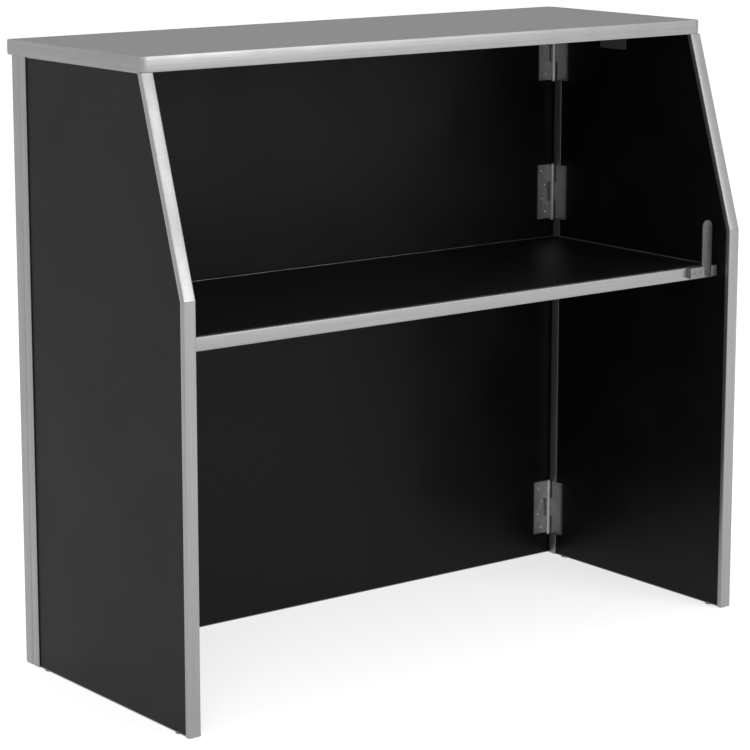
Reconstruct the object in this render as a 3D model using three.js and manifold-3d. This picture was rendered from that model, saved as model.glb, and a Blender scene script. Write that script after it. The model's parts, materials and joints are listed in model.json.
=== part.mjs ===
// Folding portable bar: a front panel with two hinged side panels, a folding shelf and a lift-off top.
// Millimetres, +Z up, +X to the right seen from the open side, +Y towards the guests.
import * as THREE from 'three';
import { mergeVertices } from 'three/addons/utils/BufferGeometryUtils.js';
import Module from 'manifold-3d';

const wasm = await Module();
wasm.setup();

// Overall sizes
const barWidth = 1219;
const barHeight = 1092;
const sideDepth = 490;
const topDepth = 421;
const topFrontOverhang = 20;
const topEndOverhang = 1.5;
const topThickness = 25;
const topCornerRadius = 12;
const kneeHeight = 717;

// Boards, trims and fits
const boardThickness = 19;
const trimWall = 2;
const trimLeg = 10;
const stileLeg = 20;
const edgeBand = 1.5;
const topBand = 2.5;
const seatGap = 0.3;
const panelGap = 0.8;
const glideHeight = 2;
const glideRadius = 10;
const glideInset = 40;

// Shelf and its lock
const shelfTopHeight = 650;
const shelfRearRecess = 37;
const shelfEndGap = 3;
const shelfEndLeg = 6;
const ledgeLeg = 16;
const ledgeWall = 2;
const ledgeLength = 300;
const ledgeFrontSetback = 20;
const boltWidth = 24;
const boltThickness = 4;
const boltAbove = 85;
const boltBelow = 16;
const guideLength = 66;
const guideHeight = 19;
const guideWall = 2;
const guideLip = 3;
const guideEndInset = 1;
const boltFromEnd = 24;
const boltClearance = 0.5;

// Hinges
const leafWidth = 32;
const leafLength = 106;
const leafThickness = 2;
const knuckleRadius = 4.5;
const pinRadius = 2.2;
const pinClearance = 0.3;
const pinHeadRadius = 3.6;
const pinHeadHeight = 2;
const knuckleGap = 0.4;
const lowHingeAboveFoot = 96;
const middleHingeAboveShelf = 85;
const highHingeBelowHead = 60;
const shelfHingeFromEnd = 164;
const shelfHingeDrop = 4;
const shelfLeafWidth = 14;
const shelfKnuckleRadius = 3;
const shelfPinRadius = 1.5;

// Locating angles under the top
const locatorLength = 70;
const locatorLeg = 20;
const locatorDrop = 41;
const locatorWall = 2;
const locatorClearance = 1;
const locatorFromFront = 167;

// Facets of round pieces, and how far a cutting block passes the piece that it cuts
const barrelSides = 16;
const glideSides = 20;
const boltArcSteps = 12;
const cornerArcSteps = 6;
const cutMargin = 1;

// Derived planes
const trimWidth = boardThickness + 2 * (trimWall + seatGap);
const boardInset = trimWall + seatGap;
const outerX = barWidth / 2;
const innerX = outerX - trimWidth;
const frontReach = trimWidth + topFrontOverhang;
const innerY = (sideDepth - frontReach) / 2;
const frontOuterY = innerY + trimWidth;
const rearY = innerY - sideDepth;
const topFrontY = innerY + frontReach;
const topRearY = topFrontY - topDepth;
const topUnder = barHeight - topThickness;
const panelBottom = glideHeight;
const panelTop = topUnder - seatGap;
const sideFrontY = innerY - panelGap;
const slopeTopY = topRearY;
const shelfRearY = rearY + shelfRearRecess;
const shelfUnder = shelfTopHeight - trimWidth;
const shelfEndX = innerX - shelfEndGap;
const hingeCentres = [
  panelBottom + lowHingeAboveFoot,
  shelfTopHeight + middleHingeAboveShelf,
  panelTop - highHingeBelowHead,
];

const aluminium = () => new THREE.MeshStandardMaterial({ color: 0xb4b6b8, roughness: 0.35, metalness: 1 });
const laminate = () => new THREE.MeshStandardMaterial({ color: 0x17181a, roughness: 0.45, metalness: 0 });
const slate = () => new THREE.MeshStandardMaterial({ color: 0x8f9193, roughness: 0.5, metalness: 0.1 });
const steel = () => new THREE.MeshStandardMaterial({ color: 0xa8a9ab, roughness: 0.3, metalness: 1 });
const plastic = () => new THREE.MeshStandardMaterial({ color: 0x222324, roughness: 0.7, metalness: 0 });

const bar = new THREE.Group();

function addMesh(name, geometry, material) {
  const mesh = new THREE.Mesh(geometry, material);
  mesh.name = name;
  bar.add(mesh);
}

function toSolid(geometry) {
  const bare = geometry.clone();
  bare.deleteAttribute('normal');
  bare.deleteAttribute('uv');
  const merged = mergeVertices(bare, 1e-4);
  const vertProperties = new Float32Array(merged.attributes.position.array);
  const triVerts = new Uint32Array(merged.index.array);
  return new wasm.Manifold(new wasm.Mesh({ numProp: 3, vertProperties, triVerts }));
}

function toGeometry(solid) {
  const mesh = solid.getMesh();
  const geometry = new THREE.BufferGeometry();
  geometry.setAttribute('position', new THREE.BufferAttribute(new Float32Array(mesh.vertProperties), 3));
  geometry.setIndex(new THREE.BufferAttribute(new Uint32Array(mesh.triVerts), 1));
  geometry.computeVertexNormals();
  return geometry;
}

function box(low, high) {
  const size = high.map((value, axis) => value - low[axis]);
  const geometry = new THREE.BoxGeometry(...size);
  geometry.translate(...low.map((value, axis) => value + size[axis] / 2));
  return geometry;
}

// A solid swept along X from an outline of [y, z] points.
function sidePrism(points, x0, x1) {
  const shape = new THREE.Shape(points.map(([y, z]) => new THREE.Vector2(y, z)));
  const geometry = new THREE.ExtrudeGeometry(shape, { depth: x1 - x0, bevelEnabled: false });
  const basis = new THREE.Matrix4().makeBasis(
    new THREE.Vector3(0, 1, 0),
    new THREE.Vector3(0, 0, 1),
    new THREE.Vector3(1, 0, 0),
  );
  geometry.applyMatrix4(basis);
  geometry.translate(x0, 0, 0);
  return geometry;
}

// A round bar along Z or X between two ends.
function rod(radius, centre, from, to, axis, sides = barrelSides) {
  const geometry = new THREE.CylinderGeometry(radius, radius, to - from, sides);
  const middle = (from + to) / 2;
  if (axis === 'z') {
    geometry.rotateX(Math.PI / 2);
    geometry.translate(centre[0], centre[1], middle);
  } else {
    geometry.rotateZ(-Math.PI / 2);
    geometry.translate(middle, centre[0], centre[1]);
  }
  return geometry;
}

function unite(geometries) {
  return geometries.map(toSolid).reduce((sum, next) => sum.add(next));
}

// Mirrors left-hand pieces from right-hand spans of X.
function spanX(side, low, high) {
  return side > 0 ? [low, high] : [-high, -low];
}

function sideBox(side, low, high) {
  const [x0, x1] = spanX(side, low[0], high[0]);
  return box([x0, low[1], low[2]], [x1, high[1], high[2]]);
}

// Side panel outline inset by a distance on each edge, clockwise from the front foot.
function sideOutline(front, bottom, rear, top) {
  const run = slopeTopY - rearY;
  const rise = panelTop - kneeHeight;
  const length = Math.hypot(run, rise);
  const kneeStep = (rear * (length - rise)) / run;
  const lowZ = kneeHeight - (rear * run) / length;
  const kneeZ = lowZ + (kneeStep * rise) / length;
  const topStep = ((panelTop - top - lowZ) * length) / rise;
  const slopeY = rearY + (rear * rise) / length + (topStep * run) / length;
  return {
    foot: [sideFrontY - front, panelBottom + bottom],
    heel: [rearY + rear, panelBottom + bottom],
    knee: [rearY + rear, kneeZ],
    slope: [slopeY, panelTop - top],
    head: [sideFrontY - front, panelTop - top],
  };
}

function outlinePoints(outline) {
  return [outline.foot, outline.head, outline.slope, outline.knee, outline.heel];
}

function shift(point, dy, dz) {
  return [point[0] + dy, point[1] + dz];
}

// Front panel
const frontBoardX = outerX - boardInset;
const frontBoardY = [innerY + boardInset, innerY + boardInset + boardThickness];
addMesh('front_board', box(
  [-frontBoardX, frontBoardY[0], panelBottom + edgeBand + seatGap],
  [frontBoardX, frontBoardY[1], panelTop - edgeBand - seatGap],
), laminate());
addMesh('front_bottom_band', box(
  [-frontBoardX, frontBoardY[0], panelBottom],
  [frontBoardX, frontBoardY[1], panelBottom + edgeBand],
), aluminium());
addMesh('front_top_band', box(
  [-frontBoardX, frontBoardY[0], panelTop - edgeBand],
  [frontBoardX, frontBoardY[1], panelTop],
), aluminium());

// A channel that wraps a board's end: outer block less the pocket that the board seats in.
function frontEndTrim(side) {
  const block = toSolid(sideBox(side,
    [outerX - stileLeg, innerY, panelBottom],
    [outerX, frontOuterY, panelTop]));
  const pocket = toSolid(sideBox(side,
    [outerX - stileLeg - cutMargin, innerY + trimWall, panelBottom - cutMargin],
    [outerX - trimWall, frontOuterY - trimWall, panelTop + cutMargin]));
  return toGeometry(block.subtract(pocket));
}

// Side panel board, trims, bands and glides
function buildSide(side, label) {
  const pocketX = spanX(side, innerX + trimWall, outerX - trimWall);
  const wholeX = spanX(side, innerX, outerX);
  const boardX = spanX(side, innerX + boardInset, outerX - boardInset);
  const edge = sideOutline(0, 0, 0, 0);
  const leg = sideOutline(trimLeg, 0, trimLeg, 0);
  const board = sideOutline(boardInset, edgeBand + seatGap, boardInset, edgeBand + seatGap);
  const band = sideOutline(boardInset, 0, boardInset, 0);
  const bandEdge = sideOutline(boardInset, edgeBand, boardInset, edgeBand);
  const wall = sideOutline(trimWall, 0, trimWall, 0);
  const half = seatGap / 2;
  const slopeAngle = Math.atan2(edge.slope[0] - edge.knee[0], edge.slope[1] - edge.knee[1]);
  const up = [half * Math.sin(slopeAngle), half * Math.cos(slopeAngle)];

  addMesh(`${label}_board`, sidePrism(outlinePoints(board), ...boardX), laminate());
  addMesh(`${label}_bottom_band`, sidePrism(
    [band.foot, bandEdge.foot, bandEdge.heel, band.heel], ...boardX), aluminium());
  addMesh(`${label}_top_band`, sidePrism(
    [bandEdge.head, band.head, band.slope, bandEdge.slope], ...boardX), aluminium());

  const rearBlock = toSolid(sidePrism(
    [edge.heel, leg.heel, shift(leg.knee, 0, -half), shift(edge.knee, 0, -half)], ...wholeX));
  const rearPocket = toSolid(sidePrism([
    shift(wall.heel, 0, -cutMargin),
    shift(leg.heel, cutMargin, -cutMargin),
    shift(leg.knee, cutMargin, cutMargin),
    shift(wall.knee, 0, cutMargin),
  ], ...pocketX));
  addMesh(`${label}_rear_trim`, toGeometry(rearBlock.subtract(rearPocket)), aluminium());

  const slopeBlock = toSolid(sidePrism(
    [shift(edge.knee, ...up), shift(leg.knee, ...up), leg.slope, edge.slope], ...wholeX));
  const slopePocket = toSolid(sidePrism([
    wall.knee,
    shift(leg.knee, cutMargin, -cutMargin),
    shift(leg.slope, cutMargin, cutMargin),
    shift(wall.slope, 0, cutMargin),
  ], ...pocketX));
  addMesh(`${label}_slope_trim`, toGeometry(slopeBlock.subtract(slopePocket)), aluminium());

  const stileBlock = toSolid(sideBox(side,
    [innerX, sideFrontY - stileLeg, panelBottom],
    [outerX, sideFrontY, panelTop]));
  const stilePocket = toSolid(sideBox(side,
    [innerX + trimWall, sideFrontY - stileLeg - cutMargin, panelBottom - cutMargin],
    [outerX - trimWall, sideFrontY - trimWall, panelTop + cutMargin]));
  addMesh(`${label}_front_trim`, toGeometry(stileBlock.subtract(stilePocket)), aluminium());

  const glideX = side * (innerX + outerX) / 2;
  const glidePlaces = { front: sideFrontY - glideInset, rear: rearY + glideInset };
  for (const [end, y] of Object.entries(glidePlaces)) {
    const glide = rod(glideRadius, [glideX, y], 0, panelBottom - seatGap, 'z', glideSides);
    addMesh(`${label}_${end}_glide`, glide, plastic());
  }

  const ledgeFrontY = sideFrontY - stileLeg - ledgeFrontSetback;
  const ledgeY = [ledgeFrontY - ledgeLength, ledgeFrontY];
  const ledgeTop = shelfUnder - seatGap;
  const ledgeX = innerX + boardInset - seatGap;
  addMesh(`${label}_ledge`, toGeometry(unite([
    sideBox(side, [ledgeX - ledgeLeg, ledgeY[0], ledgeTop - ledgeWall], [ledgeX, ledgeY[1], ledgeTop]),
    sideBox(side, [ledgeX - ledgeWall, ledgeY[0], ledgeTop - ledgeLeg], [ledgeX, ledgeY[1], ledgeTop]),
  ])), aluminium());
}

// Three knuckles of a hinge share the leaf length: the outer two on one leaf, the middle one on the other.
function knuckleSpans(low, length) {
  const part = length / 3;
  return {
    outer: [[low, low + part - knuckleGap], [low + 2 * part + knuckleGap, low + length]],
    middle: [[low + part, low + 2 * part]],
  };
}

// A corner hinge: pin axis at the inner corner, one leaf on the front panel and one on the side panel.
// The side leaf lies on the stile's leg, and its packing reaches down to the board beside the leg.
function buildCornerHinge(side, label, centreZ) {
  const low = centreZ - leafLength / 2;
  const high = low + leafLength;
  const axisX = innerX - seatGap - leafThickness - knuckleRadius;
  const axisY = sideFrontY - seatGap - knuckleRadius;
  const spans = knuckleSpans(low, leafLength);
  const centre = [side * axisX, axisY];
  const bore = toSolid(rod(pinRadius + pinClearance, centre, low - cutMargin, high + cutMargin, 'z'));
  const barrel = ([z0, z1]) => rod(knuckleRadius, centre, z0, z1, 'z');
  const frontFace = innerY + boardInset - seatGap;

  const frontPlate = sideBox(side,
    [axisX - leafWidth, frontFace - leafThickness, low], [axisX + knuckleRadius, frontFace, high]);
  const frontWebs = spans.outer.map(([z0, z1]) => sideBox(side,
    [axisX - knuckleRadius, axisY, z0],
    [axisX - knuckleRadius + leafThickness, frontFace - leafThickness / 2, z1]));
  const frontLeaf = unite([frontPlate, ...frontWebs, ...spans.outer.map(barrel)]).subtract(bore);
  addMesh(`${label}_front_leaf`, toGeometry(frontLeaf), steel());

  const sidePlate = sideBox(side,
    [innerX - seatGap - leafThickness, axisY - leafWidth, low],
    [innerX - seatGap, axisY - knuckleRadius - knuckleGap, high]);
  const sidePacking = sideBox(side,
    [innerX - seatGap - leafThickness / 2, axisY - leafWidth, low],
    [innerX + boardInset - seatGap, sideFrontY - stileLeg - seatGap, high]);
  const sideWebs = spans.middle.map(([z0, z1]) => sideBox(side,
    [axisX + pinRadius + pinClearance + knuckleGap, axisY - knuckleRadius - leafThickness, z0],
    [innerX - seatGap, axisY, z1]));
  const sideLeaf = unite([sidePlate, sidePacking, ...sideWebs, ...spans.middle.map(barrel)]).subtract(bore);
  addMesh(`${label}_side_leaf`, toGeometry(sideLeaf), steel());

  const headBase = [low - seatGap, high + seatGap];
  addMesh(`${label}_pin`, toGeometry(unite([
    rod(pinRadius, centre, headBase[0] - pinHeadHeight / 2, headBase[1] + pinHeadHeight / 2, 'z'),
    rod(pinHeadRadius, centre, headBase[1], headBase[1] + pinHeadHeight, 'z'),
    rod(pinHeadRadius, centre, headBase[0] - pinHeadHeight, headBase[0], 'z'),
  ])), steel());
}

for (const [side, label] of [[-1, 'left'], [1, 'right']]) {
  addMesh(`front_${label}_trim`, frontEndTrim(side), aluminium());
  buildSide(side, label);
  hingeCentres.forEach((z, index) => buildCornerHinge(side, `${label}_hinge_${index + 1}`, z));
}

// Shelf: hinge axis beside its back edge, low enough that the knuckles hide behind the board
const shelfAxisY = innerY + boardInset - seatGap - leafThickness - shelfKnuckleRadius;
const shelfAxisZ = shelfTopHeight - shelfKnuckleRadius - shelfHingeDrop;
const shelfBackY = shelfAxisY - shelfKnuckleRadius - seatGap - leafThickness;
const shelfBoardZ = [shelfUnder + boardInset, shelfUnder + boardInset + boardThickness];
addMesh('shelf_board', box(
  [-shelfEndX + boardInset, shelfRearY + boardInset, shelfBoardZ[0]],
  [shelfEndX - boardInset, shelfBackY, shelfBoardZ[1]],
), laminate());
const shelfFrontBlock = toSolid(box(
  [-shelfEndX, shelfRearY, shelfUnder], [shelfEndX, shelfRearY + trimLeg, shelfTopHeight]));
const shelfFrontPocket = toSolid(box(
  [-shelfEndX + trimWall, shelfRearY + trimWall, shelfUnder + trimWall],
  [shelfEndX - trimWall, shelfRearY + trimLeg + cutMargin, shelfTopHeight - trimWall]));
addMesh('shelf_front_trim', toGeometry(shelfFrontBlock.subtract(shelfFrontPocket)), aluminium());
for (const [side, label] of [[-1, 'left'], [1, 'right']]) {
  const block = toSolid(sideBox(side,
    [shelfEndX - shelfEndLeg, shelfRearY + trimLeg + seatGap, shelfUnder],
    [shelfEndX, shelfBackY, shelfTopHeight]));
  const pocket = toSolid(sideBox(side,
    [shelfEndX - shelfEndLeg - cutMargin, shelfRearY, shelfUnder + trimWall],
    [shelfEndX - trimWall, shelfBackY + cutMargin, shelfTopHeight - trimWall]));
  addMesh(`shelf_${label}_trim`, toGeometry(block.subtract(pocket)), aluminium());
}

// A shelf hinge: both leaves hang from the knuckle, one on the panel and one on the shelf's back edge.
function buildShelfHinge(side, label) {
  const low = side * (shelfEndX - shelfHingeFromEnd) - leafLength / 2;
  const high = low + leafLength;
  const spans = knuckleSpans(low, leafLength);
  const centre = [shelfAxisY, shelfAxisZ];
  const bore = toSolid(rod(shelfPinRadius + pinClearance, centre, low - cutMargin, high + cutMargin, 'x'));
  const barrel = ([x0, x1]) => rod(shelfKnuckleRadius, centre, x0, x1, 'x');
  const panelFace = innerY + boardInset - seatGap;
  const leafBottom = shelfAxisZ - shelfLeafWidth;
  const panelPlate = box(
    [low, panelFace - leafThickness, leafBottom],
    [high, panelFace, shelfAxisZ + shelfKnuckleRadius]);
  const panelWebs = spans.outer.map(([x0, x1]) => box(
    [x0, shelfAxisY + shelfPinRadius + pinClearance + knuckleGap, shelfAxisZ - shelfKnuckleRadius / 2],
    [x1, panelFace - leafThickness / 2, shelfAxisZ + shelfKnuckleRadius / 2]));
  const panelLeaf = unite([panelPlate, ...panelWebs, ...spans.outer.map(barrel)]).subtract(bore);
  addMesh(`shelf_${label}_hinge_panel_leaf`, toGeometry(panelLeaf), steel());

  const shelfFace = shelfBackY + seatGap;
  const edgePlate = box([low, shelfFace, leafBottom], [high, shelfFace + leafThickness, shelfAxisZ]);
  const clearances = spans.outer.map(([x0, x1]) => toSolid(rod(
    shelfKnuckleRadius + knuckleGap, centre, x0 - knuckleGap, x1 + knuckleGap, 'x')));
  const edgeWebs = spans.middle.map(([x0, x1]) => box(
    [x0, shelfFace + leafThickness / 2, shelfAxisZ - shelfKnuckleRadius / 2],
    [x1, shelfAxisY - shelfPinRadius - pinClearance - knuckleGap, shelfAxisZ]));
  const plate = clearances.reduce((sum, cut) => sum.subtract(cut), toSolid(edgePlate));
  const edgeLeaf = unite([...edgeWebs, ...spans.middle.map(barrel)]).add(plate).subtract(bore);
  addMesh(`shelf_${label}_hinge_shelf_leaf`, toGeometry(edgeLeaf), steel());
  addMesh(`shelf_${label}_hinge_pin`, rod(shelfPinRadius, centre, low, high, 'x'), steel());
}
buildShelfHinge(-1, 'left');
buildShelfHinge(1, 'right');

// Shelf lock: a guide on the near edge, whose lips hold a round-topped drop bolt in its slot
const guideX = [shelfEndX - guideEndInset - guideLength, shelfEndX - guideEndInset];
const boltX = shelfEndX - boltFromEnd;
const guideBackY = shelfRearY - seatGap;
const boltBackY = guideBackY - guideWall - boltClearance;
const lipBackY = boltBackY - boltThickness - boltClearance;
const guideFrontY = lipBackY - guideWall;
const guideUnder = shelfTopHeight - guideHeight;
const slotHalf = boltWidth / 2 + boltClearance;
const mouthHalf = boltWidth / 2 - guideLip;
const guideBlock = toSolid(box(
  [guideX[0], guideFrontY, guideUnder], [guideX[1], guideBackY, shelfTopHeight]));
const guideSlot = toSolid(box(
  [boltX - slotHalf, lipBackY, guideUnder - cutMargin],
  [boltX + slotHalf, guideBackY - guideWall, shelfTopHeight + cutMargin]));
const guideMouth = toSolid(box(
  [boltX - mouthHalf, guideFrontY - cutMargin, guideUnder - cutMargin],
  [boltX + mouthHalf, guideBackY - guideWall, shelfTopHeight + cutMargin]));
addMesh('bolt_guide', toGeometry(guideBlock.subtract(guideSlot).subtract(guideMouth)), steel());
const boltShape = new THREE.Shape();
const boltTopZ = shelfTopHeight + boltAbove - boltWidth / 2;
boltShape.moveTo(boltX - boltWidth / 2, shelfTopHeight - boltBelow);
boltShape.lineTo(boltX + boltWidth / 2, shelfTopHeight - boltBelow);
boltShape.lineTo(boltX + boltWidth / 2, boltTopZ);
boltShape.absarc(boltX, boltTopZ, boltWidth / 2, 0, Math.PI);
const boltExtrude = { depth: boltThickness, bevelEnabled: false, curveSegments: boltArcSteps };
const boltGeometry = new THREE.ExtrudeGeometry(boltShape, boltExtrude);
boltGeometry.rotateX(Math.PI / 2);
boltGeometry.translate(0, boltBackY, 0);
addMesh('shelf_bolt', boltGeometry, steel());

// Bar top: board, four edge bands with round corners on the end bands, and locating angles
const topX = outerX + topEndOverhang;
function roundedPlan(inset, radius) {
  const x = topX - inset;
  const y0 = topRearY + inset;
  const y1 = topFrontY - inset;
  const shape = new THREE.Shape();
  shape.absarc(x - radius, y1 - radius, radius, 0, Math.PI / 2);
  shape.absarc(-x + radius, y1 - radius, radius, Math.PI / 2, Math.PI);
  shape.absarc(-x + radius, y0 + radius, radius, Math.PI, 1.5 * Math.PI);
  shape.absarc(x - radius, y0 + radius, radius, 1.5 * Math.PI, 2 * Math.PI);
  return shape;
}
function planPrism(shape, z0, z1) {
  const settings = { depth: z1 - z0, bevelEnabled: false, curveSegments: cornerArcSteps };
  const geometry = new THREE.ExtrudeGeometry(shape, settings);
  geometry.translate(0, 0, z0);
  return geometry;
}
const boardRadius = topCornerRadius - topBand - seatGap;
addMesh('top_board', planPrism(roundedPlan(topBand + seatGap, boardRadius), topUnder, barHeight), slate());
const cutLow = topUnder - cutMargin;
const cutHigh = barHeight + cutMargin;
const cutX = topX + cutMargin;
const cutRear = topRearY - cutMargin;
const cutFront = topFrontY + cutMargin;
const bandRing = toSolid(planPrism(roundedPlan(0, topCornerRadius), topUnder, barHeight))
  .subtract(toSolid(planPrism(roundedPlan(topBand, topCornerRadius - topBand), cutLow, cutHigh)));
const bandJointX = topX - topCornerRadius - seatGap;
const topBands = {
  top_rear_band: [[-bandJointX, cutRear, cutLow], [bandJointX, topRearY + topCornerRadius, cutHigh]],
  top_front_band: [[-bandJointX, topFrontY - topCornerRadius, cutLow], [bandJointX, cutFront, cutHigh]],
  top_left_band: [[-cutX, cutRear, cutLow], [-bandJointX - seatGap, cutFront, cutHigh]],
  top_right_band: [[bandJointX + seatGap, cutRear, cutLow], [cutX, cutFront, cutHigh]],
};
for (const [name, [low, high]] of Object.entries(topBands)) {
  addMesh(name, toGeometry(bandRing.intersect(toSolid(box(low, high)))), aluminium());
}
for (const [side, label] of [[-1, 'left'], [1, 'right']]) {
  const x = innerX + boardInset - locatorClearance;
  const y = innerY - locatorFromFront;
  const z = topUnder - seatGap;
  const ends = [y - locatorLength / 2, y + locatorLength / 2];
  addMesh(`top_${label}_locator`, toGeometry(unite([
    sideBox(side, [x - locatorLeg, ends[0], z - locatorWall], [x, ends[1], z]),
    sideBox(side, [x - locatorWall, ends[0], z - locatorDrop], [x, ends[1], z]),
  ])), steel());
}

export default bar;
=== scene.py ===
import json
import math

import bpy
import numpy as np
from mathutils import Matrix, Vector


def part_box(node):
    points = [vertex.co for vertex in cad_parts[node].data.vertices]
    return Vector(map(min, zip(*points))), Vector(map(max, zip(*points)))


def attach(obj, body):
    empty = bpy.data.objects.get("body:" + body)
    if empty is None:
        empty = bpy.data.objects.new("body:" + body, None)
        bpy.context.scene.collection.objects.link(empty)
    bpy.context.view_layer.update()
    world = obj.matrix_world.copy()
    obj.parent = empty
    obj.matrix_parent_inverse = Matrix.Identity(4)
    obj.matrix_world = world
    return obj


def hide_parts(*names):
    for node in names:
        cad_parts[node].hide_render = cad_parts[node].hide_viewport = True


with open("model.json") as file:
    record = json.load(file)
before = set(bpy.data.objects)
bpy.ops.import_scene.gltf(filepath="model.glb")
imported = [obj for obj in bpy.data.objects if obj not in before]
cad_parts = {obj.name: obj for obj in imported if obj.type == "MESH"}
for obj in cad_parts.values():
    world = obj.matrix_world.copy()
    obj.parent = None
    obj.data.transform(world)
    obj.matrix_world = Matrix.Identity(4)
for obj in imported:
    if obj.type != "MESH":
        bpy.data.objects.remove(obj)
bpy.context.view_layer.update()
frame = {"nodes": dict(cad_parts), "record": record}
nodes = frame["nodes"]
sides = ((-1, "left"), (1, "right"))
print("frame loaded:", len(nodes), "nodes")


# Node helpers for the finishes

noiseSpan = (0.3, 0.7)  # most values of a noise texture lie between these


def newMaterial(name):
    material = bpy.data.materials.new(name)
    material.use_nodes = True
    tree = material.node_tree
    return material, tree, tree.nodes["Principled BSDF"]


def objectSpace(tree, stretch=(1, 1, 1)):
    coords = tree.nodes.new("ShaderNodeTexCoord")
    mapping = tree.nodes.new("ShaderNodeMapping")
    mapping.inputs["Scale"].default_value = stretch
    tree.links.new(coords.outputs["Object"], mapping.inputs["Vector"])
    return mapping.outputs["Vector"]


def noise(tree, vector, scale, detail, roughness=0.55):
    node = tree.nodes.new("ShaderNodeTexNoise")
    node.inputs["Scale"].default_value = scale
    node.inputs["Detail"].default_value = detail
    node.inputs["Roughness"].default_value = roughness
    tree.links.new(vector, node.inputs["Vector"])
    return node.outputs["Fac"]


# Two greys, each with its green and blue a little above or below its red
def greys(pair, green=(1, 1), blue=(1, 1)):
    return [(value, value * g, value * b, 1) for value, g, b in zip(pair, green, blue)]


# From the first colour to the second as the factor crosses the span, and even outside it
def ramp(tree, factor, colours, span=noiseSpan):
    node = tree.nodes.new("ShaderNodeValToRGB")
    for element, place, colour in zip(node.color_ramp.elements, span, colours):
        element.position = place
        element.color = colour
    tree.links.new(factor, node.inputs["Fac"])
    return node.outputs["Color"]


def bump(tree, shader, height, strength, distance):
    node = tree.nodes.new("ShaderNodeBump")
    node.inputs["Strength"].default_value = strength
    node.inputs["Distance"].default_value = distance
    tree.links.new(height, node.inputs["Height"])
    tree.links.new(node.outputs["Normal"], shader.inputs["Normal"])


# Black laminate: fine pebble grain, faint cloudy change of tint and gloss

blackLook = {
    "tint": (0.0042, 0.0072),
    "gloss": (0.34, 0.48),
    "sheen": 0.12,
    "cloud": {"scale": 5, "detail": 5},
    "pebble": {"scale": 900, "detail": 2},
    "bump": {"strength": 0.10, "distance": 0.0002},
}


def blackLaminate():
    material, tree, shader = newMaterial("blackLaminate")
    space = objectSpace(tree)
    cloud = noise(tree, space, **blackLook["cloud"])
    pebble = noise(tree, space, **blackLook["pebble"])
    tree.links.new(ramp(tree, cloud, greys(blackLook["tint"])), shader.inputs["Base Color"])
    tree.links.new(ramp(tree, cloud, greys(blackLook["gloss"])), shader.inputs["Roughness"])
    shader.inputs["Specular IOR Level"].default_value = blackLook["sheen"]
    bump(tree, shader, pebble, **blackLook["bump"])
    return material


# Grey laminate of the counter: fine streaks along the length and a light speckle

counterLook = {
    "tint": (0.175, 0.235),
    "tintSpan": (0.45, 0.9),
    "blue": (1.01, 0.99),
    "gloss": (0.52, 0.66),
    "sheen": 0.18,
    "stretch": (6, 420, 60),
    "streak": {"scale": 1.0, "detail": 6, "roughness": 0.6},
    "speckle": {"scale": 700, "detail": 2},
    "speckleShare": 0.35,
    "bump": {"strength": 0.06, "distance": 0.0002},
}


def greyLaminate():
    material, tree, shader = newMaterial("greyLaminate")
    streak = noise(tree, objectSpace(tree, counterLook["stretch"]), **counterLook["streak"])
    speckle = noise(tree, objectSpace(tree), **counterLook["speckle"])
    mix = tree.nodes.new("ShaderNodeMath")
    mix.operation = "MULTIPLY_ADD"  # speckle times its share, plus streak
    mix.inputs[1].default_value = counterLook["speckleShare"]
    tree.links.new(speckle, mix.inputs[0])
    tree.links.new(streak, mix.inputs[2])
    colours = greys(counterLook["tint"], blue=counterLook["blue"])
    tint = ramp(tree, mix.outputs[0], colours, counterLook["tintSpan"])
    tree.links.new(tint, shader.inputs["Base Color"])
    tree.links.new(ramp(tree, streak, greys(counterLook["gloss"])), shader.inputs["Roughness"])
    shader.inputs["Specular IOR Level"].default_value = counterLook["sheen"]
    bump(tree, shader, speckle, **counterLook["bump"])
    return material


# Satin aluminium: drawn lines along the bar, given by the axis that it runs on

aluminiumLook = {
    "tint": (0.27, 0.36),
    "tintSpan": (0.25, 0.75),
    "blue": (1.01, 1.005),
    "gloss": (0.27, 0.40),
    "metal": 0.75,
    "across": 900,
    "along": 3,
    "lines": {"scale": 1.0, "detail": 3, "roughness": 0.6},
    "smudge": {"scale": 14, "detail": 4},
    "bump": {"strength": 0.05, "distance": 0.0001},
}


def satinAluminium(axis):
    material, tree, shader = newMaterial("satinAluminium" + axis)
    stretch = [aluminiumLook["along" if way == axis else "across"] for way in "XYZ"]
    lines = noise(tree, objectSpace(tree, stretch), **aluminiumLook["lines"])
    smudge = noise(tree, objectSpace(tree), **aluminiumLook["smudge"])
    colours = greys(aluminiumLook["tint"], blue=aluminiumLook["blue"])
    tint = ramp(tree, lines, colours, aluminiumLook["tintSpan"])
    tree.links.new(tint, shader.inputs["Base Color"])
    tree.links.new(ramp(tree, smudge, greys(aluminiumLook["gloss"])), shader.inputs["Roughness"])
    shader.inputs["Metallic"].default_value = aluminiumLook["metal"]
    bump(tree, shader, lines, **aluminiumLook["bump"])
    return material


# Plated steel: cool mottled plate, pale zinc on the hinges and darker ones on the bolt and its guide

steelLook = {
    "tint": {"zinc": (0.32, 0.47), "guideSteel": (0.17, 0.25), "boltSteel": (0.08, 0.13)},
    "green": (1.01, 1.0),
    "blue": (1.03, 1.01),
    "gloss": (0.34, 0.50),
    "metal": 0.8,
    "mottle": {"scale": 120, "detail": 5, "roughness": 0.65},
    "bump": {"strength": 0.04, "distance": 0.0002},
}


def platedSteel(name):
    material, tree, shader = newMaterial(name)
    mottle = noise(tree, objectSpace(tree), **steelLook["mottle"])
    colours = greys(steelLook["tint"][name], steelLook["green"], steelLook["blue"])
    tree.links.new(ramp(tree, mottle, colours), shader.inputs["Base Color"])
    tree.links.new(ramp(tree, mottle, greys(steelLook["gloss"])), shader.inputs["Roughness"])
    shader.inputs["Metallic"].default_value = steelLook["metal"]
    bump(tree, shader, mottle, **steelLook["bump"])
    return material


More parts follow.
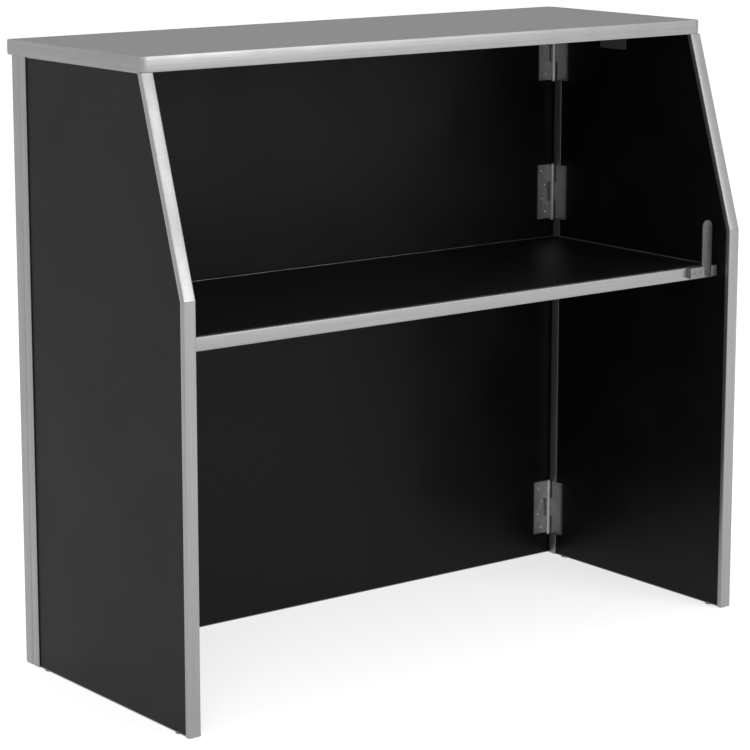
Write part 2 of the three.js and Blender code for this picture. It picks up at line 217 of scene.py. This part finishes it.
# Glide plastic: matte moulded black with a fine grain

glideLook = {
    "tint": (0.018, 0.03),
    "roughness": 0.6,
    "grain": {"scale": 1500, "detail": 2},
    "bump": {"strength": 0.1, "distance": 0.0002},
}


def glidePlastic():
    material, tree, shader = newMaterial("glidePlastic")
    grain = noise(tree, objectSpace(tree), **glideLook["grain"])
    tree.links.new(ramp(tree, grain, greys(glideLook["tint"])), shader.inputs["Base Color"])
    shader.inputs["Roughness"].default_value = glideLook["roughness"]
    bump(tree, shader, grain, **glideLook["bump"])
    return material


# Each node's finish goes by its own name, then by its slot; a trim's lines follow its longest side

finish = {"black": blackLaminate(), "counter": greyLaminate(), "glide": glidePlastic()}
finish.update({"along" + axis: satinAluminium(axis) for axis in "XYZ"})
finish.update({name: platedSteel(name) for name in steelLook["tint"]})
nodeLook = {"bolt_guide": "guideSteel", "shelf_bolt": "boltSteel"}
slotLook = {
    "black_laminate": "black",
    "grey_laminate": "counter",
    "steel_hardware": "zinc",
    "glide_plastic": "glide",
}
slotOf = {entry["node"]: entry["material_slot"] for entry in frame["record"]["subparts"]}


def longestAxis(node):
    low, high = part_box(node)
    return "along" + "XYZ"[int(np.argmax(high - low))]


for name, thing in nodes.items():
    look = nodeLook.get(name) or slotLook.get(slotOf[name]) or longestAxis(name)
    thing.data.materials.clear()
    thing.data.materials.append(finish[look])
print("finishes set on", len(nodes), "nodes")


# Mesh helpers

roundAngle = 40  # degrees: faces that meet at less are shaded as one round surface


# Arrays in, one object made at the origin, which rides on its body and may stand for solids
def addPiece(name, points, faces, look, body, stands=()):
    mesh = bpy.data.meshes.new(name)
    mesh.from_pydata(points.tolist(), [], faces)
    mesh.validate()
    mesh.polygons.foreach_set("use_smooth", [True] * len(mesh.polygons))
    mesh.set_sharp_from_angle(angle=math.radians(roundAngle))
    mesh.materials.append(finish[look])
    piece = bpy.data.objects.new(name, mesh)
    bpy.context.scene.collection.objects.link(piece)
    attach(piece, body)
    if stands:
        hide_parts(*stands)


# A closed tube over stacked rings: a quad joins each point to the next in its ring and to the two
# above, and one face closes each end. Flipped where the rings turn the other way round.
def tubeFaces(rows, columns, flip=False):
    row, column = np.meshgrid(np.arange(rows - 1), np.arange(columns), indexing="ij")
    following = (column + 1) % columns
    here, above = row * columns, (row + 1) * columns
    quads = np.stack([here + column, here + following, above + following, above + column], -1)
    firstEnd = list(range(columns))[::-1]
    lastEnd = list(range((rows - 1) * columns, rows * columns))
    faces = quads.reshape(-1, 4).tolist() + [firstEnd, lastEnd]
    return [face[::-1] for face in faces] if flip else faces


# Points of a circle: centre plus radius times (cos, sin) of the angle, from start to stop in degrees
def arc(centre, radius, start, stop, count):
    angle = np.radians(np.linspace(start, stop, count))
    return np.asarray(centre) + radius * np.stack([np.cos(angle), np.sin(angle)], -1)


# The x of a box's outer face on a side of the bar, or of its inner face with the side's sign turned
def outerX(low, high, side):
    return high.x if side > 0 else low.x


# Channel trims: a U section with round outer corners, carried straight along each board edge

channel = {
    "wall": 0.002,
    "corner": 0.0022,
    "cornerSteps": 6,
    "tip": 0.0006,
    "tipSteps": 3,
    "mitreGap": 0.0003,
}


# The section runs anti-clockwise in (u across the board, v in from the outer face): a quarter circle
# at each outer corner, two at each leg's tip, and the square pocket between the legs.
def channelSection(width, leg):
    wall, corner, tip = channel["wall"], channel["corner"], channel["tip"]
    cornerSteps, tipSteps = channel["cornerSteps"], channel["tipSteps"]
    return np.concatenate([
        arc((corner, corner), corner, 180, 270, cornerSteps),
        arc((width - corner, corner), corner, 270, 360, cornerSteps),
        arc((width - tip, leg - tip), tip, 0, 90, tipSteps),
        arc((width - wall + tip, leg - tip), tip, 90, 180, tipSteps),
        [(width - wall, wall), (wall, wall)],
        arc((wall - tip, leg - tip), tip, 0, 90, tipSteps),
        arc((tip, leg - tip), tip, 90, 180, tipSteps),
    ])


# A section point lies at corner + u*across + v*inward and goes from start to stop along the run.
# An end that leans is cut further along by its lean times v.
def carryStraight(section, corner, across, inward, run, stop, start=0.0, startLean=0.0, stopLean=0.0):
    across, inward, run = np.array([across, inward, run], float)
    u, v = section[:, :1], section[:, 1:]
    base = np.asarray(corner, float) + u * across + v * inward
    low = base + (start + startLean * v) * run
    high = base + (stop + stopLean * v) * run
    leftHanded = np.dot(np.cross(across, inward), run) < 0
    return np.concatenate([low, high]), tubeFaces(2, len(section), leftHanded)


# One trim, which stands for its node
def trimPiece(name, node, section, look, body, **way):
    points, faces = carryStraight(section, **way)
    addPiece(name, points, faces, look, body, (node,))


# A straight channel that fills its node's box, from the corner that all three directions lead away from
def boxChannel(name, node, look, body, across, inward, run):
    low, high = (np.array(corner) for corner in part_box(node))
    directions = np.array([across, inward, run])
    corner = np.where(directions.sum(axis=0) > 0, low, high)
    width, leg, length = np.abs(directions) @ (high - low)
    trimPiece(name, node, channelSection(width, leg), look, body,
              corner=corner, across=across, inward=inward, run=run, stop=length)


# The rear trim and the slope trim of a side panel meet at the knee, both cut on half the knee's angle
def rearAndSlopeChannels(side, label):
    low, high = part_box(label + "_rear_trim")
    outer = outerX(low, high, side)
    across = (-side, 0, 0)
    section = channelSection(high.x - low.x, high.y - low.y)
    knee = np.array([low.y, high.z])
    head = np.array([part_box("top_rear_band")[0].y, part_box(label + "_slope_trim")[1].z])
    slopeLength = np.linalg.norm(head - knee)
    slopeY, slopeZ = (head - knee) / slopeLength
    mitre = math.tan(math.atan2(slopeY, slopeZ) / 2)
    trimPiece(label + "RearChannel", label + "_rear_trim", section, "alongZ", "frame",
              corner=(outer, low.y, low.z), across=across, inward=(0, 1, 0), run=(0, 0, 1),
              stop=high.z - low.z, stopLean=-mitre)
    trimPiece(label + "SlopeChannel", label + "_slope_trim", section, "alongZ", "frame",
              corner=(outer, *knee), across=across, inward=(0, slopeZ, -slopeY), run=(0, slopeY, slopeZ),
              start=channel["mitreGap"], stop=slopeLength, startLean=mitre, stopLean=slopeY / slopeZ)


for side, label in sides:
    rearAndSlopeChannels(side, label)
    boxChannel(label + "HingeStile", label + "_front_trim", "alongZ", "frame",
               across=(-side, 0, 0), inward=(0, -1, 0), run=(0, 0, 1))
    boxChannel(label + "FrontEndChannel", "front_" + label + "_trim", "alongZ", "frame",
               across=(0, 1, 0), inward=(-side, 0, 0), run=(0, 0, 1))
    boxChannel(label + "ShelfEndChannel", "shelf_" + label + "_trim", "alongY", "shelf",
               across=(0, 0, 1), inward=(-side, 0, 0), run=(0, 1, 0))
boxChannel("shelfNoseChannel", "shelf_front_trim", "alongX", "shelf",
           across=(0, 0, 1), inward=(0, 1, 0), run=(1, 0, 0))
print("channel trims made")


# Shelf's back bead: a thin strip on the board's back edge, whose section is a half circle pressed flat

bead = {"width": 0.002, "rise": 0.0006, "inset": 0.001, "endGap": 0.008, "steps": 10}


def shelfBackBead():
    low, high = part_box("shelf_board")
    half = bead["width"] / 2
    section = arc((half, 0.0), half, 0, 180, bead["steps"]) * np.array([1.0, bead["rise"] / half])
    points, faces = carryStraight(
        section, corner=(low.x, high.y - bead["inset"] - bead["width"], high.z),
        across=(0, 1, 0), inward=(0, 0, 1), run=(1, 0, 0),
        start=bead["endGap"], stop=high.x - low.x - bead["endGap"])
    addPiece("shelfBackBead", points, faces, "alongX", "shelf")


shelfBackBead()
print("shelf bead made")


# Edge of the top: a crowned band round the rounded plan, in the same four lengths as the solids

topEdge = {"crown": 0.0009, "crownSteps": 14, "corner": 0.012, "cornerSteps": 9}


# Section in (d in from the outer face, z): the face stands furthest out at half height and falls back
# to both lips by crown times one less the root of the sine of its height. The back is straight.
def bandSection():
    low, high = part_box("top_board")
    rearLow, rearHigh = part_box("top_rear_band")
    thickness = rearHigh.y - rearLow.y
    height = np.linspace(0, 1, topEdge["crownSteps"])
    face = np.stack([topEdge["crown"] * (1 - np.sin(np.pi * height) ** 0.5), height], -1)
    section = np.concatenate([face, [(thickness, 1.0), (thickness, 0.0)]])
    section[:, 1] = low.z + section[:, 1] * (high.z - low.z)
    return section


# A section point lies d inside its path point, against the outward direction there, at height z
def carryBand(path, outward, section, flip):
    plan = path[:, None] - section[:, :1] * outward[:, None]
    rise = np.broadcast_to(section[:, 1:], (*plan.shape[:2], 1))
    points = np.concatenate([plan, rise], -1).reshape(-1, 3)
    return points, tubeFaces(len(path), len(section), flip)


# Part of a turn round the centre: outward is (cos, sin) of the angle, and the path is a radius out on it
def cornerPath(centre, start, stop):
    outward = arc((0.0, 0.0), 1.0, start, stop, topEdge["cornerSteps"])
    return np.asarray(centre) + topEdge["corner"] * outward, outward


# A long edge is straight: a path point at each end, both outward to the rear (-1) or the front (1)
def longEdge(name, node, way, section):
    low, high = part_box(node)
    ends = np.array([low.x, high.x])[::-way]
    path = np.stack([ends, np.full(2, high.y if way > 0 else low.y)], -1)
    outward = np.tile([0.0, way], (2, 1))
    points, faces = carryBand(path, outward, section, flip=True)
    addPiece(name, points, faces, "alongX", "top", (node,))


# The two ends of the top take the corners with them, from the near one to the far one
def endEdge(name, node, side, section):
    low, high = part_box(node)
    radius = topEdge["corner"]
    centreX = outerX(low, high, side) - side * radius
    sideAngle = 0 if side > 0 else 180
    near = cornerPath((centreX, low.y + radius), 270, 360 if side > 0 else sideAngle)
    far = cornerPath((centreX, high.y - radius), sideAngle, 90)
    path, outward = (np.concatenate(pair) for pair in zip(near, far))
    points, faces = carryBand(path, outward, section, flip=side > 0)
    addPiece(name, points, faces, "alongY", "top", (node,))


section = bandSection()
longEdge("topRearEdge", "top_rear_band", -1, section)
longEdge("topFrontEdge", "top_front_band", 1, section)
endEdge("topLeftEdge", "top_left_band", -1, section)
endEdge("topRightEdge", "top_right_band", 1, section)
print("top edge made")


# Drop bolt: a round-topped bar with rounded edges

bolt = {"edge": 0.0011, "edgeSteps": 5, "crownSteps": 24}


# Outline in (x, z) moved in by the inset: a half circle over the top and the two corners of the foot
def boltOutline(low, high, inset):
    half = (high.x - low.x) / 2
    centre = ((low.x + high.x) / 2, high.z - half)
    radius = half - inset
    crown = arc(centre, radius, 0, 180, bolt["crownSteps"])
    foot = [(centre[0] - radius, low.z + inset), (centre[0] + radius, low.z + inset)]
    return np.concatenate([crown, foot])


# Rings of the outline from face to face, over a quarter turn at each. At the first face the inset is
# edge*(1 - sin turn) and the depth in from the face edge*(1 - cos turn); at the other the two swap.
def dropBolt():
    low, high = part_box("shelf_bolt")
    edge = bolt["edge"]
    turn = np.linspace(0, np.pi / 2, bolt["edgeSteps"])
    shrinking, growing = edge * (1 - np.sin(turn)), edge * (1 - np.cos(turn))
    insets = np.concatenate([shrinking, growing])
    depths = np.concatenate([low.y + growing, high.y - shrinking])
    rings = [np.insert(boltOutline(low, high, inset), 1, depth, axis=1)
             for inset, depth in zip(insets, depths)]
    faces = tubeFaces(len(rings), len(rings[0]), flip=True)
    addPiece("dropBolt", np.concatenate(rings), faces, "boltSteel", "bolt", ("shelf_bolt",))


dropBolt()
print("drop bolt made")


# Screws: a domed head with a cross recess, one surface of radius and angle turned to each face

screw = {
    "radius": 0.0034,
    "dome": 0.0013,
    "rim": 0.0002,
    "recess": 0.0008,
    "arm": 0.0006,
    "armSharpness": 2.5,
    "reach": 0.0021,
    "reachFade": 0.0004,
    "pole": 0.02,  # the innermost ring, as a share of the radius
    "sides": 40,
    "rings": 12,
}


# Height is the rim plus a dome that falls with the square of the radius, less a soft-edged cross in the
# middle. The last ring drops to the face that the screw sits on.
def screwHead():
    radius = np.linspace(screw["pole"], 1, screw["rings"]) * screw["radius"]
    angle = np.linspace(0, 2 * np.pi, screw["sides"], endpoint=False)
    radius, angle = np.meshgrid(radius, angle, indexing="ij")
    x, y = radius * np.cos(angle), radius * np.sin(angle)
    lift = screw["dome"] * (1 - (radius / screw["radius"]) ** 2) + screw["rim"]
    fromArm = np.minimum(np.abs(x), np.abs(y))
    cross = np.clip((screw["arm"] - fromArm) / screw["arm"] * screw["armSharpness"], 0, 1)
    cross = cross * np.clip((screw["reach"] - radius) / screw["reachFade"], 0, 1)
    dome = np.stack([x, y, lift - screw["recess"] * cross], -1).reshape(-1, 3)
    skirt = np.stack([x[-1], y[-1], np.zeros_like(x[-1])], -1)
    return np.concatenate([dome, skirt]), tubeFaces(screw["rings"] + 1, screw["sides"], flip=True)


# Every place is (point, outward direction along an axis, turn of the cross). The head's x and y turn
# with the cross in the plane of the face, and its height goes outwards.
def screwSet(name, places, body, look="zinc"):
    head, headFaces = screwHead()
    points, faces = [], []
    for i, (place, outward, turn) in enumerate(places):
        outward = np.asarray(outward, float)
        vertical = outward[2] != 0
        u = np.array([1.0, 0.0, 0.0]) if vertical else np.cross(outward, (0, 0, 1))
        v = np.cross(outward, u)
        cos, sin = math.cos(turn), math.sin(turn)
        x = head[:, :1] * cos - head[:, 1:2] * sin
        y = head[:, :1] * sin + head[:, 1:2] * cos
        points.append(np.asarray(place, float) + x * u + y * v + head[:, 2:] * outward)
        faces += [[corner + i * len(head) for corner in face] for face in headFaces]
    addPiece(name, np.concatenate(points), faces, look, body)


# Hinge leaves: a staggered column on each leaf

leafScrews = {
    "count": 4,
    "fromEnd": 0.013,
    "steps": (0.020, 0.011),  # in from the leaf's free edge, by turns
    "thickness": 0.002,
    "frontTurn": 0.7,
    "sideTurn": 0.9,
}


# The same heights on both leaves of a hinge, near and far from the free edge by turns
def hingeScrewPlaces(side, label, number):
    low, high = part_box(f"{label}_hinge_{number}_front_leaf")
    sideLow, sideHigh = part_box(f"{label}_hinge_{number}_side_leaf")
    thickness = leafScrews["thickness"]
    heights = np.linspace(low.z + leafScrews["fromEnd"], high.z - leafScrews["fromEnd"], leafScrews["count"])
    freeX = outerX(low, high, -side)
    faceX = outerX(sideLow, sideHigh, side) - side * thickness
    column = [(k, z, leafScrews["steps"][k % 2]) for k, z in enumerate(heights)]
    front = [((freeX + side * step, high.y - thickness, z), (0, -1, 0), leafScrews["frontTurn"] * k + number)
             for k, z, step in column]
    inside = [((faceX, sideLow.y + step, z), (-side, 0, 0), leafScrews["sideTurn"] * k + number)
              for k, z, step in column]
    return front + inside


places = []
for side, label in sides:
    for number in (1, 2, 3):
        places += hingeScrewPlaces(side, label, number)
screwSet("hingeScrews", places, "frame")


# Ledges: a row along each upright leg

ledgeScrews = {"count": 4, "fromEnd": 0.03, "drop": 0.012, "wall": 0.002, "turn": 0.5}
places = []
for side, label in sides:
    low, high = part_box(label + "_ledge")
    faceX = outerX(low, high, side) - side * ledgeScrews["wall"]
    row = np.linspace(low.y + ledgeScrews["fromEnd"], high.y - ledgeScrews["fromEnd"], ledgeScrews["count"])
    places += [((faceX, y, high.z - ledgeScrews["drop"]), (-side, 0, 0), ledgeScrews["turn"] * k)
               for k, y in enumerate(row)]
screwSet("ledgeScrews", places, "frame")


# Bolt guide: two beside the bolt

guideScrews = {"fromEnd": (0.008, 0.023), "turns": (0.72, 2.07)}
low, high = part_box("bolt_guide")
places = [((low.x + step, low.y, (low.z + high.z) / 2), (0, -1, 0), turn)
          for step, turn in zip(guideScrews["fromEnd"], guideScrews["turns"])]
screwSet("guideScrews", places, "shelf", look="guideSteel")


# Locating angles: two up through each flat leg

locatorScrews = {"fromInner": 0.009, "fromEnd": (0.015, 0.055), "wall": 0.002, "turns": (1.05, 3.85)}
places = []
for side, label in sides:
    low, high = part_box(f"top_{label}_locator")
    x = outerX(low, high, -side) + side * locatorScrews["fromInner"]
    places += [((x, low.y + step, high.z - locatorScrews["wall"]), (0, 0, -1), turn)
               for step, turn in zip(locatorScrews["fromEnd"], locatorScrews["turns"])]
screwSet("locatorScrews", places, "top")
print("screws made")


# Camera at the photograph's view: place and angles from a fit to the picture's corners

lensFit = {
    "place": (-2.9421, -3.7860, 1.4902),
    "yaw": 0.6563,
    "pitch": -0.1879,
    "focalPixels": 2740.2,
    "framePixels": 750,
    "centreY": 320,
    "sensor": 36.0,
    "clipEnd": 60,
}
camData = bpy.data.cameras.new("photoCamera")
camData.sensor_width = lensFit["sensor"]
camData.lens = lensFit["focalPixels"] / lensFit["framePixels"] * lensFit["sensor"]
camData.shift_y = (lensFit["centreY"] - lensFit["framePixels"] / 2) / lensFit["framePixels"]
camData.clip_end = lensFit["clipEnd"]
camera = bpy.data.objects.new("photoCamera", camData)
camera.location = lensFit["place"]
camera.rotation_euler = (math.pi / 2 + lensFit["pitch"], 0, -lensFit["yaw"])
bpy.context.scene.collection.objects.link(camera)
bpy.context.scene.camera = camera
print("camera set")


# Studio: pale floor that keeps a soft shadow, white surroundings, three soft lamps

studio = {
    "floorSize": 40.0,
    "floorTone": 0.82,
    "floorLift": 0.66,
    "worldLight": 0.46,
    "lampAim": (0.0, 0.0, 0.6),
}
lamps = [
    {"name": "keyLamp", "place": (-2.6, -3.4, 3.6), "size": 2.6, "power": 40},
    {"name": "fillLamp", "place": (2.0, -4.7, 2.1), "size": 2.6, "power": 78},
    {"name": "overLamp", "place": (0.2, 1.2, 4.0), "size": 3.2, "power": 28},
]


# One for what the camera sees, straight or in a reflection or through glass, and nought for light
def seenRays(tree):
    rays = tree.nodes.new("ShaderNodeLightPath")
    seen = rays.outputs["Is Camera Ray"]
    for kind in ("Is Glossy Ray", "Is Transmission Ray"):
        either = tree.nodes.new("ShaderNodeMath")
        either.operation = "MAXIMUM"
        tree.links.new(seen, either.inputs[0])
        tree.links.new(rays.outputs[kind], either.inputs[1])
        seen = either.outputs[0]
    return seen


def floorMaterial():
    material = bpy.data.materials.new("paleFloor")
    material.use_nodes = True
    tree = material.node_tree
    tree.nodes.clear()
    out = tree.nodes.new("ShaderNodeOutputMaterial")
    total = tree.nodes.new("ShaderNodeAddShader")
    diffuse = tree.nodes.new("ShaderNodeBsdfDiffuse")
    tone = studio["floorTone"]
    diffuse.inputs["Color"].default_value = (tone, tone, tone, 1)
    white = tree.nodes.new("ShaderNodeEmission")
    lift = tree.nodes.new("ShaderNodeMath")
    lift.operation = "MULTIPLY"
    lift.inputs[1].default_value = studio["floorLift"]
    tree.links.new(seenRays(tree), lift.inputs[0])
    tree.links.new(lift.outputs[0], white.inputs["Strength"])
    tree.links.new(diffuse.outputs[0], total.inputs[0])
    tree.links.new(white.outputs[0], total.inputs[1])
    tree.links.new(total.outputs[0], out.inputs["Surface"])
    return material


half = studio["floorSize"] / 2
floorCorners = [(-half, -half, 0), (half, -half, 0), (half, half, 0), (-half, half, 0)]
floorMesh = bpy.data.meshes.new("floor")
floorMesh.from_pydata(floorCorners, [], [(0, 1, 2, 3)])
floorMesh.materials.append(floorMaterial())
floor = bpy.data.objects.new("floor", floorMesh)
bpy.context.scene.collection.objects.link(floor)

world = bpy.data.worlds.new("whiteRoom")
bpy.context.scene.world = world
world.use_nodes = True
tree = world.node_tree
background = tree.nodes["Background"]
strength = tree.nodes.new("ShaderNodeMapRange")
strength.inputs["To Min"].default_value = studio["worldLight"]
strength.inputs["To Max"].default_value = 1.0
tree.links.new(seenRays(tree), strength.inputs["Value"])
tree.links.new(strength.outputs[0], background.inputs["Strength"])
background.inputs["Color"].default_value = (1, 1, 1, 1)

for lamp in lamps:
    data = bpy.data.lights.new(lamp["name"], "AREA")
    data.energy = lamp["power"]
    data.size = lamp["size"]
    light = bpy.data.objects.new(lamp["name"], data)
    light.location = lamp["place"]
    aim = np.array(studio["lampAim"]) - np.array(lamp["place"])
    yaw = math.atan2(aim[0], aim[1])
    tilt = math.atan2(-aim[2], math.hypot(aim[0], aim[1]))
    light.rotation_euler = (math.pi / 2 - tilt, 0, -yaw)
    bpy.context.scene.collection.objects.link(light)
bpy.context.scene.view_settings.view_transform = "Standard"
print("studio set")
